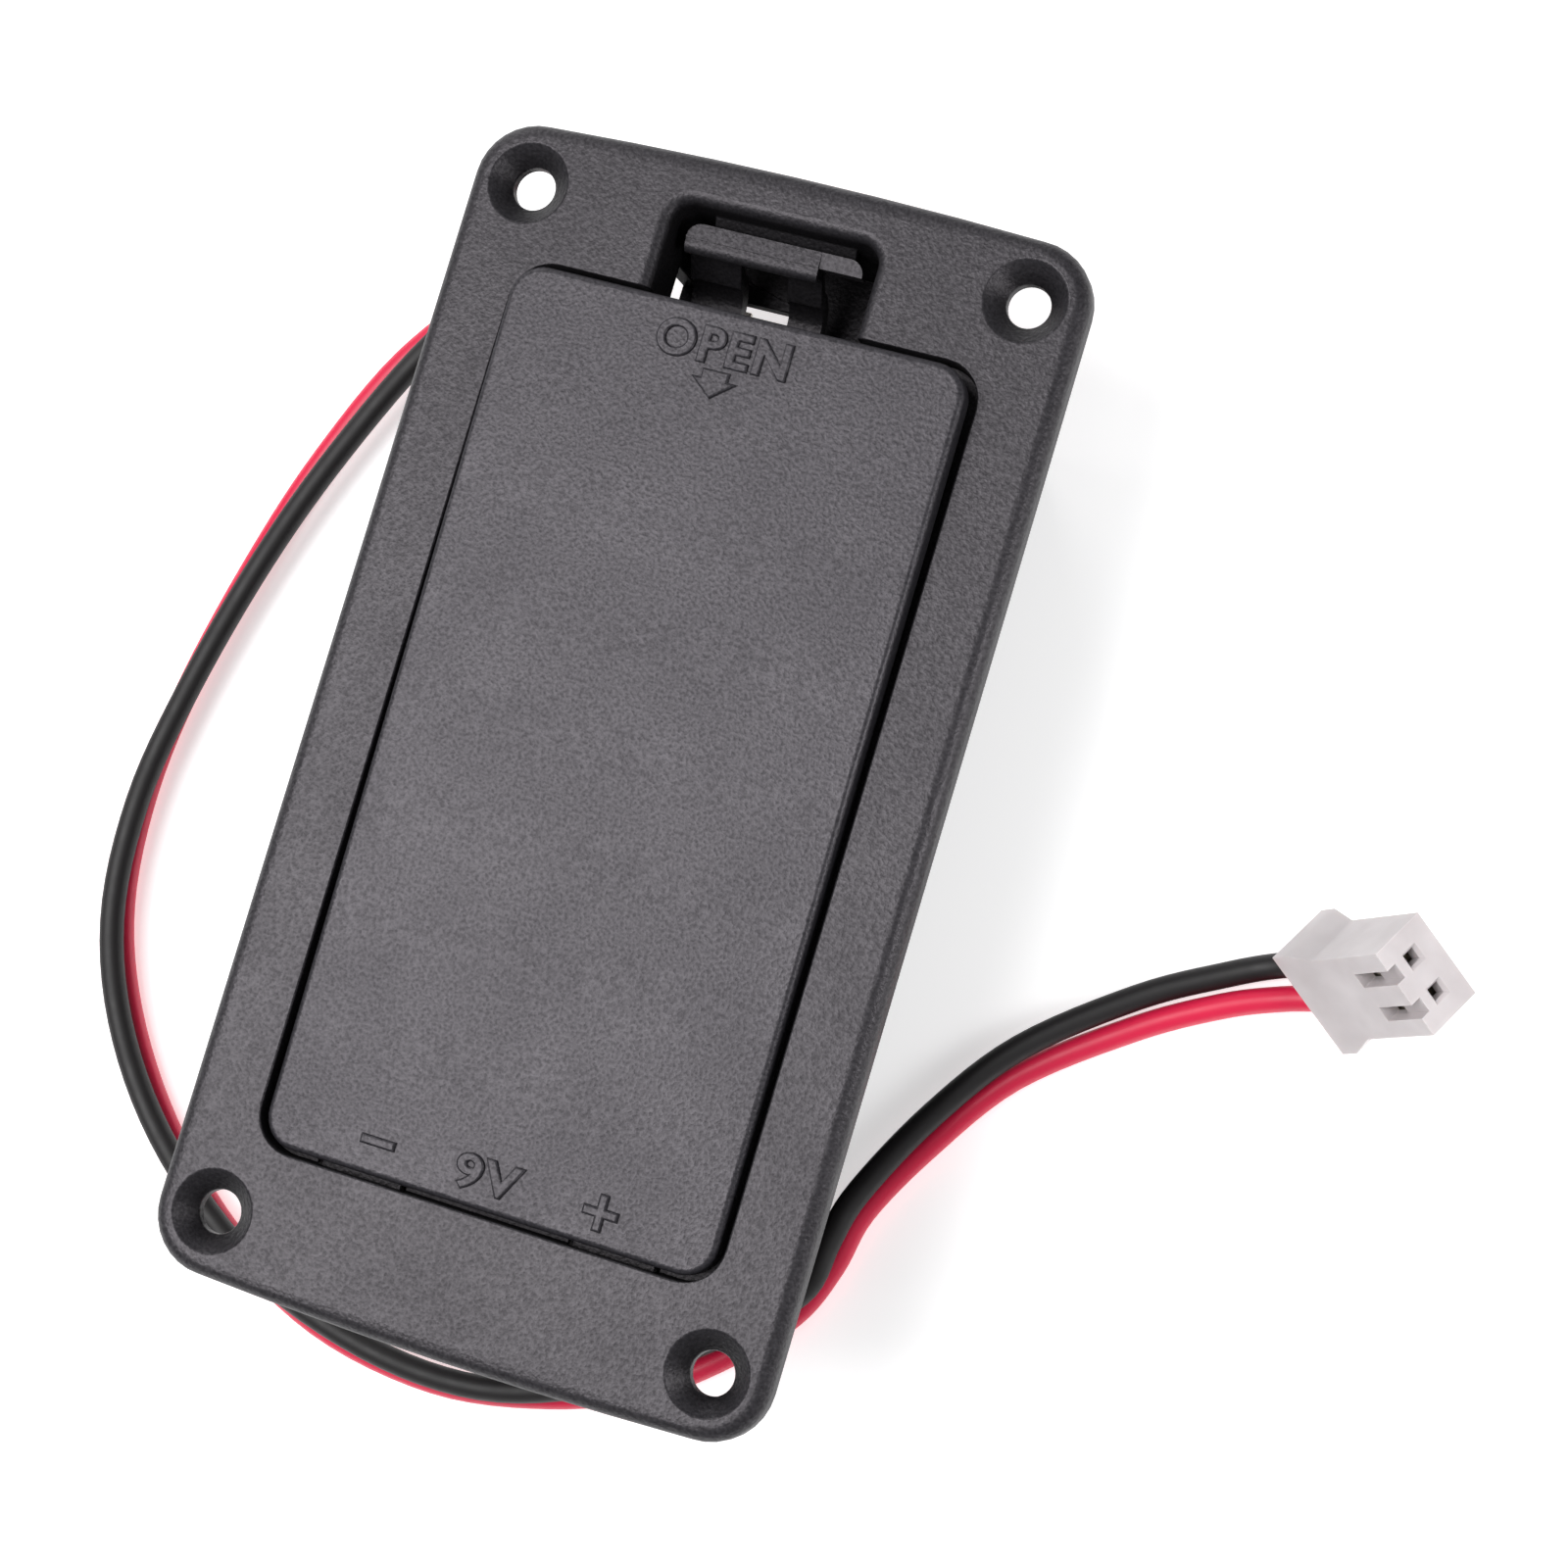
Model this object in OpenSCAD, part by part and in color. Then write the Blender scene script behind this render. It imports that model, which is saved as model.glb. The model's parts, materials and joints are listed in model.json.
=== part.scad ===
// Flush-mount holder for one nine volt block battery.
// X runs across the plate, Y along it towards the latch, Z up.
// The origin is the middle of the tub's underside, and sizes are in millimetres.

/* [Flange plate] */
// Length of the plate, measured along its middle
plate_l = 72; // [70:0.5:78]
// Width of the plate
plate_w = 38.6; // [37:0.2:44]
// Thickness of the plate
plate_t = 2; // [1.9:0.1:2.6]
// Radius of the plate's corners, seen from above
plate_corner_r = 3.7; // [2.5:0.1:4.5]
// Radius that rounds the plate's upper edge
plate_edge_r = 1; // [0.5:0.1:1.4]
// How far each short end bows out at its middle
end_bow = 0.6; // [0.3:0.1:1.2]

/* [Screw holes] */
// Distance between the screw holes along the plate
hole_pitch_l = 63.6; // [62:0.2:65]
// Distance between the screw holes across the plate
hole_pitch_w = 31.2; // [30:0.2:32]
// Diameter of each screw hole
hole_d = 2.6; // [2:0.1:3.2]
// Diameter of each countersink at the plate's face
sink_d = 5; // [4.2:0.1:5.6]
// Depth of each countersink
sink_depth = 1.25; // [0.8:0.05:1.5]

/* [Battery bay] */
// Width of the battery
battery_w = 26.5; // [25.5:0.1:26.8]
// Length of the battery over its terminals
battery_l = 48.5; // [47.5:0.1:49]
// Thickness of the battery
battery_t = 17.5; // [16.5:0.1:18]
// Room on each side of the battery
side_room = 0.25; // [0.2:0.05:0.4]
// Room above the battery, under the lid's ribs
top_room = 0.2; // [0.15:0.05:0.6]
// Length of the bay that the sprung contacts take up
contact_room = 4.1; // [3.9:0.1:4.6]
// Thickness of the tub's walls
wall = 1.5; // [1.2:0.1:1.7]
// Thickness of the tub's floor
floor_t = 1.3; // [1:0.1:2]
// Height of the low ribs on the floor that the battery lies on
bed_h = 0.2; // [0.1:0.05:0.4]
// Outer radius of the tub's upright corners
tub_corner_r = 2.4; // [2:0.1:3]
// Radius that rounds the tub's lower edge
tub_edge_r = 0.8; // [0.4:0.1:1.2]

/* [Lid] */
// Width of the ledge round the bay that the lid lies over
ledge = 1.1; // [0.9:0.1:1.3]
// Thickness of the lid's panel
lid_t = 1.6; // [1.4:0.1:1.8]
// Gap along each side of the lid
lid_gap = 0.45; // [0.3:0.05:0.6]
// Gap at the lid's hinged end
hinge_gap = 0.35; // [0.3:0.05:0.5]
// Gap at the lid's latch end
latch_gap = 0.55; // [0.4:0.05:0.8]
// Radius of the lid's corners
lid_corner_r = 2; // [1.5:0.1:2.5]
// Radius that rounds the lid's upper edge
lid_edge_r = 0.4; // [0.2:0.1:0.6]
// Room under the closed lid's panel
lid_drop = 0.1; // [0.05:0.05:0.3]
// Height of the ribs and skirt under the panel
rib_h = 0.7; // [0.5:0.1:1.2]
// Angle that the unlatched lid stands up, in degrees
lid_raise = 1.8; // [1.6:0.1:2.2]
// Width of each hinge tab
tab_w = 5; // [4:0.5:7]
// Distance of each hinge tab from the middle
tab_x = 8; // [6:0.5:9]
// Reach of each hinge tab past the lid's end
tab_reach = 1.4; // [1:0.1:1.6]

/* [Latch] */
// Width of the finger pocket
pocket_w = 13; // [12.6:0.2:14]
// Reach of the finger pocket past the lid recess
pocket_reach = 5.6; // [5.4:0.1:6]
// Depth of the finger pocket below the plate's face
pocket_depth = 9.6; // [9.4:0.1:10.2]
// Thickness of the pocket's walls
pocket_wall = 1.2; // [0.9:0.1:1.4]
// Radius that rounds the pocket's mouth
pocket_flare = 0.7; // [0.3:0.1:0.9]
// Thickness of the latch spring
spring_t = 1; // [0.8:0.1:1.1]
// Inner radius of the latch spring's bend
spring_bend_r = 1.3; // [1.1:0.1:1.4]
// Depth of the bend's middle below the lid's face
spring_depth = 6.8; // [6.5:0.1:7]
// Width of the window in the latch spring
spring_window = 3; // [2:0.1:3.4]
// Room between the thumb bar and each side of the pocket
bar_room = 0.95; // [0.7:0.05:1.2]
// Width of the thumb bar's bare end, past the latch spring
bar_tab = 2.7; // [2.2:0.1:3.2]
// Depth of the thumb bar's top below the lid's face
bar_drop = 3.75; // [3.7:0.05:3.9]
// How far the catch stands out from the pocket's end wall
catch_reach = 1.35; // [1.2:0.05:1.45]

/* [Contacts] */
// Distance between the battery's terminals
terminal_pitch = 12.7; // [12.5:0.1:13]
// Width of each contact
contact_w = 6; // [5:0.2:6.4]
// Thickness of the contact strip
contact_t = 0.4; // [0.3:0.05:0.5]
// Height of each contact's nose above the tub's floor
contact_z = 6.6; // [6.2:0.1:7]
// Width of each solder tab
tail_w = 2.6; // [2:0.1:3]
// Reach of each solder tab past the tub's end wall
tail_reach = 3; // [2.6:0.1:3.6]

/* [Leads] */
// Diameter of each lead
lead_d = 1.6; // [1.4:0.05:1.7]
// Diameter of each lead's tinned end
core_d = 0.7; // [0.5:0.05:0.9]

/* [Plug] */
// Distance between the plug's two ways
way_pitch = 2.5; // [2.5:0.01:2.54]
// Length of the plug from its flange to its nose
plug_l = 9.8; // [9:0.1:10.5]
// Width of the plug's body across both ways
plug_w = 6; // [5.8:0.1:6.2]
// Thickness of the plug's body
plug_t = 3.9; // [3.8:0.05:4.3]
// Width of the plug's flange
flange_w = 7.5; // [7:0.1:8]
// Thickness of the plug's flange
flange_t = 4.6; // [4.4:0.1:5]
// Length of the plug's flange along the plug
flange_l = 3; // [2.4:0.1:3.4]

/* [Hidden] */
$fn = 48;
EPS = 0.01;
FIT = 0.15;

// The bay, the lid's recess and the tub follow from the battery.
bay_w = battery_w + 2 * side_room;
bay_l = battery_l + contact_room;
recess_w = bay_w + 2 * ledge;
recess_l = bay_l + 2 * ledge;
recess_depth = lid_t + lid_drop;
tub_w = bay_w + 2 * wall;
tub_l = bay_l + 2 * wall;
top_z = floor_t + bed_h + battery_t + top_room + rib_h + lid_t;
plate_z = top_z - plate_t;
bay_end = bay_l / 2;
tub_end = tub_l / 2;
bay_corner_r = tub_corner_r - wall / 2;

// The lid turns about the upper edge of its hinged end.
lid_w = recess_w - 2 * lid_gap;
hinge_y = hinge_gap - recess_l / 2;
lid_end_y = recess_l / 2 - latch_gap;
lid_l = lid_end_y - hinge_y;
lid_mid_y = (lid_end_y + hinge_y) / 2;
skirt_gap = 0.4;
skirt_t = 1;
tab_root = 3;
slot_lip = 0.25;
slot_side = 0.3;
slot_h = 1.9;

// The pocket takes the latch spring, which hangs from the lid's free end.
pocket_end = recess_l / 2 + pocket_reach;
pocket_r = 1.3;
pocket_floor_z = top_z - pocket_depth;
front_leg_y = lid_end_y - spring_t;
bend_y = lid_end_y + spring_bend_r;
bend_z = top_z - spring_depth;
root_y = bend_y + spring_bend_r;
bar_top_z = top_z - bar_drop;
bar_y = pocket_end - 0.85;
bar_x = -0.25;
bar_w = pocket_w - 2 * bar_room;
bar_r = 0.9;
spring_w = bar_w - bar_tab;
spring_x = bar_x - bar_tab / 2;
bar_t = 0.95;
bar_h = 1.2;
grip_reach = 0.8;
grip_h = 1.1;
catch_w = 9;
catch_z = bar_top_z + 0.1;
catch_lip = 0.4;
catch_slope = 1.05;
slit_x = spring_x + 0.55;
window_l = 2;
window_h = 5;
window_y = tub_end + 0.2;

// Each contact lies on the tub's end wall, and its tail goes through a slot.
contact_x = terminal_pitch / 2;
back_y = bay_end - contact_t;
tail_z = floor_t + 3.3;
back_h = 6.4;
back_top_z = tail_z + back_h;
fold_r = 0.7;
nose_r = 1.6;
leaf_reach = 3.6;
nose_y = back_y - leaf_reach;
nose_z = floor_t + contact_z;
rail_h = 1.1;
rail_t = 0.9;
tail_end = tub_end + tail_reach;
lead_start_y = tail_end + 0.6;
solder_r = 1.15;

// The plug lies on one corner of its flange, turned as the stiff leads hold it.
PLUG_AT = [41.4, 0, 2.55];
PLUG_TURN = [-137.5, -53.4, 15];
way_d = 1.9;
mouth = 1.2;
mouth_l = 0.25;
way_l = 4.6;
cavity = 1.75;
pin_hole = 0.8;
groove_w = 1;
groove_l = 3.4;
groove_depth = 0.7;
window_reach = 1.3;
crimp_l = 4.2;
crimp_s = 1.5;
lead_in = 2.4;
crimp_gap = 0.15;

// The routes of the leads, from the solder tabs to the plug, chosen by hand.
BLACK_ROUTE = [
    [-6.35, 31.4, 5.35], [-6.45, 34, 5.35], [-7.9, 36.5, 5.3], [-10.4, 37.8, 5],
    [-13.4, 37.1, 4.5], [-17, 34.6, 3.7], [-21.4, 30.2, 2.9], [-26.1, 24.5, 2.55],
    [-30.2, 16, 2.5], [-33.2, 7.6, 2.5], [-35.5, -1.8, 2.55], [-36.6, -10, 2.6],
    [-35.8, -18, 2.6], [-32.5, -25.1, 2.6], [-27, -31.3, 2.6], [-19.3, -36.4, 2.6],
    [-10.4, -39, 2.6], [-2.4, -39.1, 2.6], [4.4, -36.7, 2.4], [9.2, -33.1, 2.3],
    [13.2, -29.8, 2.35], [15.7, -27, 2.5], [16.3, -23.7, 2.6], [17.2, -20.4, 2.5],
    [20.2, -14.6, 2.35], [24.2, -9.1, 2.05], [30.2, -4.1, 1.3], [35, -1.25, 0.95],
    [38.1, 0.2, 1.4], [40.5, 0.75, 3.05], [41.9, 1.1, 4.95]
];
RED_ROUTE = [
    [6.35, 31.4, 5.35], [6.25, 34, 5.35], [5.1, 36.6, 5.3], [2.6, 38.1, 5.1],
    [-0.6, 38.5, 4.7], [-4.8, 38.4, 3.8], [-10.4, 37.1, 2.4], [-17.6, 33.7, 1.1],
    [-23.9, 28.7, 0.85], [-28.5, 23, 0.85], [-31.9, 15.4, 0.85], [-34.2, 8, 0.85],
    [-36.2, -1, 0.85], [-37, -9, 0.85], [-36.2, -16.8, 0.85], [-33.4, -23.4, 0.85],
    [-28.6, -29.7, 0.85], [-22.2, -35.1, 0.85], [-14.6, -38.8, 0.85], [-6, -39.9, 0.85],
    [1.6, -38.5, 0.85], [7.4, -36, 0.85], [11.8, -32.6, 0.85], [15.1, -28.9, 0.85],
    [16.6, -25.4, 0.85], [17.5, -21.6, 0.85], [20.2, -16.6, 0.85], [24.2, -11, 0.85],
    [30.5, -6, 0.85], [35.3, -3.15, 0.85], [38.6, -1.75, 0.85], [40.8, -1.1, 1.05],
    [42.3, -0.7, 2.05], [43.65, -0.3, 3.95]
];
LONG_STEP = 7;
LEAD_SIDES = 8;

// A flat shape with round corners, made of true arcs.
module rounded_rect(w, l, r) {
    square([w - 2 * r, l], center = true);
    square([w, l - 2 * r], center = true);
    for (x = [-1, 1], y = [-1, 1])
        translate([x * (w / 2 - r), y * (l / 2 - r)]) circle(r);
}

// A block with round upright corners, standing on height z.
module rounded_block(w, l, h, r, y = 0, z = 0) {
    translate([0, y, z]) linear_extrude(h) rounded_rect(w, l, r);
}

// A round foot or cap with one rounded rim, for the corners of a moulding.
module edge_disc(r, h, edge) {
    rotate_extrude($fn = 32) {
        square([r - edge, h]);
        square([r, h - edge]);
        translate([r - edge, h - edge]) intersection() {
            circle(edge, $fn = 24);
            square(edge);
        }
    }
}

// Turns a shape drawn in Y and Z into a bar that runs along X.
module along_x(w, x = 0) {
    translate([x, 0, 0]) rotate([90, 0, 90]) linear_extrude(w, center = true) children();
}

// Part of a flat ring, between two angles less than 180 degrees apart.
module ring_part(r_in, r_out, from, to) {
    far = 2 * r_out;
    mid = (from + to) / 2;
    intersection() {
        difference() {
            circle(r_out);
            circle(r_in);
        }
        polygon([
            [0, 0],
            far * [cos(from), sin(from)],
            far * [cos(mid), sin(mid)],
            far * [cos(to), sin(to)]
        ]);
    }
}

// Both sides of a strip of thickness t that follows the points of a path.
function unit(v) = v / norm(v);
function turned(v) = [-v[1], v[0]];
function heading(path, i) =
    unit(path[min(i + 1, len(path) - 1)] - path[max(i - 1, 0)]);
function strip_side(path, d) = [
    for (i = [0 : len(path) - 1]) path[i] + d * turned(heading(path, i))
];
function strip(path, t) = concat(
    strip_side(path, t / 2),
    [for (i = [len(path) - 1 : -1 : 0]) strip_side(path, -t / 2)[i]]
);

// Carries a shape from the closed lid's place to the raised one.
module raised() {
    translate([0, hinge_y, top_z]) rotate([lid_raise, 0, 0])
        translate([0, -hinge_y, -top_z]) children();
}

// Case: plate, tub and finger pocket

// How far the short end lies back from its middle, at a distance x from it.
function bow(x) = end_bow * pow(x / (plate_w / 2), 2);

module plate() {
    corner_x = plate_w / 2 - plate_corner_r;
    hull()
        for (x = corner_x * [-1, -0.66, -0.33, 0, 0.33, 0.66, 1], side = [-1, 1])
            translate([x, side * (plate_l / 2 - bow(x) - plate_corner_r), plate_z])
                edge_disc(plate_corner_r, plate_t, plate_edge_r);
}

module tub() {
    hull()
        for (x = [-1, 1], y = [-1, 1])
            translate([x * (tub_w / 2 - tub_corner_r), y * (tub_l / 2 - tub_corner_r),
                       plate_z + EPS])
                mirror([0, 0, 1]) edge_disc(tub_corner_r, plate_z + EPS, tub_edge_r);
}

module pocket_shell() {
    shell_w = pocket_w + 2 * pocket_wall;
    shell_l = pocket_end + pocket_wall - bay_end;
    rounded_block(shell_w, shell_l, pocket_depth + pocket_wall - plate_t / 2,
                  pocket_r + pocket_wall, bay_end + shell_l / 2,
                  pocket_floor_z - pocket_wall);
}

module screw_holes() {
    for (x = [-1, 1], y = [-1, 1])
        translate([x * hole_pitch_w / 2, y * hole_pitch_l / 2, 0]) {
            translate([0, 0, plate_z - 1]) cylinder(d = hole_d, h = plate_t + 2);
            translate([0, 0, top_z - sink_depth])
                cylinder(d1 = hole_d, d2 = sink_d, h = sink_depth + EPS);
        }
}

// The pocket's hollow also notches the tub's end wall, so that the spring can hang there.
module pocket_hollow() {
    hollow_l = pocket_end - bay_end + wall;
    rounded_block(pocket_w, hollow_l, pocket_depth + EPS, pocket_r,
                  pocket_end - hollow_l / 2, pocket_floor_z);
    translate([-pocket_w / 2, bay_end - wall, pocket_floor_z])
        cube([pocket_w, wall + ledge, pocket_depth + EPS]);
}

// What a rounded rim takes away, outside a wall at x = 0 whose top is at z = 0.
module flare_section() {
    translate([-EPS, -pocket_flare]) difference() {
        square([pocket_flare + EPS, pocket_flare + EPS]);
        translate([pocket_flare + EPS, 0]) circle(pocket_flare);
    }
}

// The soft rim round three sides of the pocket's mouth, where a finger goes in.
module pocket_rim() {
    start_y = recess_l / 2 - EPS;
    corner_y = pocket_end - pocket_r;
    for (side = [-1, 1]) {
        translate([side * pocket_w / 2, corner_y, top_z]) rotate([90, 0, 0])
            linear_extrude(corner_y - start_y) mirror([side < 0 ? 1 : 0, 0]) flare_section();
        translate([side * (pocket_w / 2 - pocket_r), corner_y, top_z])
            rotate([0, 0, side > 0 ? 0 : 90]) rotate_extrude(angle = 90, $fn = 32)
                translate([pocket_r, 0]) flare_section();
    }
    translate([0, pocket_end, top_z]) rotate([90, 0, 90])
        linear_extrude(pocket_w - 2 * pocket_r, center = true) flare_section();
}

module pocket_windows() {
    translate([-pocket_w / 2 - 2 * pocket_wall, window_y, pocket_floor_z])
        cube([pocket_w + 4 * pocket_wall, window_l, window_h]);
    translate([spring_x, window_y + window_l / 2, pocket_floor_z - 2 * pocket_wall])
        linear_extrude(3 * pocket_wall) rounded_rect(spring_w - 2, window_l - 0.2, 0.8);
}

module catch() {
    along_x(catch_w) polygon([
        [pocket_end + EPS, catch_z],
        [pocket_end - catch_reach, catch_z],
        [pocket_end - catch_reach, catch_z + catch_lip],
        [pocket_end + EPS, catch_z + catch_lip + catch_slope]
    ]);
}

module hinge_slots() {
    for (side = [-1, 1])
        translate([side * tab_x - tab_w / 2 - slot_side, -recess_l / 2 - tab_reach,
                   top_z - recess_depth + slot_lip - slot_h])
            cube([tab_w + 2 * slot_side, tab_reach + ledge + EPS, slot_h]);
}

module tail_slots() {
    for (side = [-1, 1])
        translate([side * contact_x - tail_w / 2 - FIT, bay_end - EPS, tail_z - FIT])
            cube([tail_w + 2 * FIT, wall + 2 * EPS, contact_t + 2 * FIT]);
}

// Rails on the end wall that hold each contact by its edges.
module contact_rails() {
    rail_top = back_top_z - 0.4;
    for (side = [-1, 1], edge = [-1, 1])
        translate([side * contact_x + edge * (contact_w / 2 + FIT + rail_t / 2) - rail_t / 2,
                   bay_end - rail_h, floor_t - EPS])
            cube([rail_t, rail_h + EPS, rail_top - floor_t]);
}

// Low ribs that the battery lies on.
module floor_ribs() {
    rib_gap = battery_w / 3;
    end_room = 2;
    for (i = [-1, 0, 1])
        translate([i * rib_gap - 0.5, -bay_l / 2 + end_room, floor_t - EPS])
            cube([1, battery_l - 3 * end_room, bed_h + EPS]);
}

module case() {
    color("#3a383c") {
        difference() {
            union() {
                plate();
                tub();
                pocket_shell();
            }
            rounded_block(bay_w, bay_l, top_z, bay_corner_r, 0, floor_t);
            rounded_block(recess_w, recess_l, recess_depth + EPS, lid_corner_r + lid_gap,
                          0, top_z - recess_depth);
            pocket_hollow();
            pocket_rim();
            pocket_windows();
            screw_holes();
            hinge_slots();
            tail_slots();
        }
        catch();
        contact_rails();
        floor_ribs();
    }
}

// Lid: panel, skirt, hinge tabs and the front half of the latch spring

module lid_panel() {
    hull()
        for (x = [-1, 1], y = [-1, 1])
            translate([x * (lid_w / 2 - lid_corner_r), lid_mid_y + y * (lid_l / 2 - lid_corner_r),
                       top_z - lid_t])
                edge_disc(lid_corner_r, lid_t, lid_edge_r);
}

// A shallow frame that drops into the bay and keeps the lid square.
module lid_skirt() {
    skirt_w = bay_w - 2 * skirt_gap;
    skirt_l = bay_l - 2 * skirt_gap - 2 * spring_t;
    difference() {
        rounded_block(skirt_w, skirt_l, rib_h + EPS, bay_corner_r - skirt_gap, 0,
                      top_z - lid_t - rib_h);
        rounded_block(skirt_w - 2 * skirt_t, skirt_l - 2 * skirt_t, rib_h + 4 * EPS, 0.5, 0,
                      top_z - lid_t - rib_h - EPS);
    }
    for (i = [-1, 1])
        translate([i * battery_w / 5 - skirt_t / 2, -skirt_l / 2 + skirt_t - EPS,
                   top_z - lid_t - rib_h])
            cube([skirt_t, skirt_l - 2 * skirt_t + 2 * EPS, rib_h + EPS]);
}

module hinge_tabs() {
    for (side = [-1, 1])
        translate([side * tab_x - tab_w / 2, hinge_y - tab_reach + hinge_gap,
                   top_z - lid_t - rib_h])
            cube([tab_w, tab_root + tab_reach, rib_h + EPS]);
}

// The window that leaves two strips of the spring, open to the pocket's floor.
module spring_slit() {
    translate([slit_x - spring_window / 2, lid_end_y - EPS, bend_z - 2 * spring_t - spring_bend_r])
        cube([spring_window, 2 * spring_bend_r + 2 * spring_t, 2 * spring_t + spring_bend_r + 1.8]);
}

module spring_front() {
    difference() {
        union() {
            translate([spring_x - spring_w / 2, front_leg_y, bend_z])
                cube([spring_w, spring_t, spring_depth - lid_t + EPS]);
            along_x(spring_w, spring_x) translate([bend_y, bend_z]) {
                ring_part(spring_bend_r, spring_bend_r + spring_t, 180, 270);
                ring_part(spring_bend_r, spring_bend_r + spring_t, 269.9, 360);
            }
        }
        spring_slit();
    }
}

module lid() {
    color("#454247") raised() {
        lid_panel();
        lid_skirt();
        hinge_tabs();
        spring_front();
    }
}

// Latch tongue: the spring's rear leg, its thumb bar and the nose that the catch holds

module latch_tongue() {
    rear = root_y + spring_t;
    shoulder_z = bar_top_z - bar_h;
    color("#454247") raised() {
        difference() {
            along_x(spring_w, spring_x) polygon([
                [root_y, bend_z],
                [rear, bend_z],
                [bar_y - 0.65, shoulder_z],
                [bar_y, shoulder_z + 0.65],
                [bar_y, bar_top_z],
                [bar_y - bar_t, bar_top_z],
                [bar_y - bar_t, shoulder_z]
            ]);
            spring_slit();
        }
        bar_plate();
        thumb_grip();
    }
}

// The full-width plate at the tongue's top, with its far corners rounded in plan.
module bar_plate() {
    back = bar_y - bar_t;
    intersection() {
        along_x(bar_w, bar_x) polygon([
            [back, bar_top_z - 0.15], [back, bar_top_z - bar_h],
            [bar_y - 0.65, bar_top_z - bar_h], [bar_y, bar_top_z - bar_h + 0.65],
            [bar_y, bar_top_z]
        ]);
        translate([bar_x, bar_y - 2 * bar_r, bar_top_z - 2 * bar_h])
            linear_extrude(3 * bar_h) rounded_rect(bar_w, 4 * bar_r, bar_r);
    }
}

// The rounded ridge under the finger, on the side of the bar that faces the lid.
module thumb_grip() {
    grip_y = bar_y - bar_t - grip_reach + grip_h / 2;
    grip_z = bar_top_z - 0.1 - grip_h / 2;
    along_x(spring_w, spring_x) {
        translate([grip_y, grip_z - grip_h / 2]) square([bar_y - bar_t + EPS - grip_y, grip_h]);
        translate([grip_y, grip_z]) circle(grip_h / 2);
    }
}

// Contacts, solder and crimp terminals

// The bent strip of one contact, from its tail up the wall and over into the sprung leaf.
contact_path = concat(
    [[back_y + contact_t / 2, tail_z + contact_t / 2]],
    [[back_y + contact_t / 2, back_top_z]],
    [for (a = [30 : 30 : 180])
        [back_y + contact_t / 2 - fold_r + fold_r * cos(a), back_top_z + fold_r * sin(a)]],
    [for (a = [130 : 20 : 230])
        [nose_y + contact_t / 2 + nose_r + nose_r * cos(a), nose_z + nose_r * sin(a)]],
    [[back_y - 0.9, tail_z + 1.3]]
);

module contact(side) {
    color("#c9c6be") translate([side * contact_x, 0, 0]) {
        along_x(contact_w) polygon(strip(contact_path, contact_t));
        translate([-tail_w / 2, back_y, tail_z])
            cube([tail_w, tail_end - back_y, contact_t]);
    }
}

module solder(side) {
    color("#b9bcc0") translate([side * contact_x, 0, tail_z + contact_t]) {
        translate([0, tail_end - 1.3, 0]) intersection() {
            translate([0, 0, -solder_r / 3]) sphere(solder_r);
            translate([-2, -2, 0]) cube(4);
        }
        translate([0, tail_end - 1.3, core_d / 2]) rotate([-90, 0, 0])
            cylinder(d = core_d, h = lead_start_y - tail_end + 1.3);
    }
}

// Moves a shape from the plug's own frame to where the plug lies.
module at_plug() {
    translate(PLUG_AT) rotate(PLUG_TURN) children();
}

module crimp(side) {
    color("#d2cfc4") at_plug() translate([lead_in + crimp_gap, side * way_pitch / 2, 0]) {
        rotate([0, 90, 0]) cylinder(d = crimp_s, h = 1.6);
        translate([1.6 - EPS, 0, 0]) difference() {
            translate([0, -crimp_s / 2, -crimp_s / 2]) cube([crimp_l, crimp_s, crimp_s]);
            translate([1, -pin_hole / 2, -pin_hole / 2]) cube([crimp_l, pin_hole, pin_hole]);
        }
    }
}

// The flange slopes down to the body on the side of the plug's nose.
module plug_flange() {
    hull() {
        translate([0, -flange_w / 2, -flange_t / 2]) cube([flange_l / 2, flange_w, flange_t]);
        translate([0, -plug_w / 2, -plug_t / 2]) cube([flange_l, plug_w, plug_t]);
    }
}

// The square funnel that leads a pin into its way.
module pin_mouth() {
    translate([plug_l - mouth_l, 0, 0]) rotate([45, 0, 0]) rotate([0, 90, 0])
        cylinder(d1 = pin_hole * sqrt(2), d2 = mouth * sqrt(2), h = mouth_l + EPS, $fn = 4);
}

module plug_housing() {
    color("#e6e2e0") at_plug() difference() {
        union() {
            translate([0, -plug_w / 2, -plug_t / 2]) cube([plug_l, plug_w, plug_t]);
            plug_flange();
        }
        for (side = [-1, 1]) translate([0, side * way_pitch / 2, 0]) {
            translate([-EPS, 0, 0]) rotate([0, 90, 0]) cylinder(d = way_d, h = way_l);
            translate([way_l - 0.8, -cavity / 2, -cavity / 2])
                cube([plug_l - way_l - 0.2, cavity, cavity]);
            translate([0, -pin_hole / 2, -pin_hole / 2])
                cube([plug_l + 1, pin_hole, pin_hole]);
            pin_mouth();
            translate([plug_l - groove_l, -groove_w / 2, -plug_t])
                cube([groove_l + EPS, groove_w, plug_t / 2 + groove_depth]);
            translate([plug_l - groove_l, -groove_w / 2, -plug_t])
                cube([window_reach, groove_w, plug_t]);
        }
    }
}

// Leads: one tube swept along each route

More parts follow.
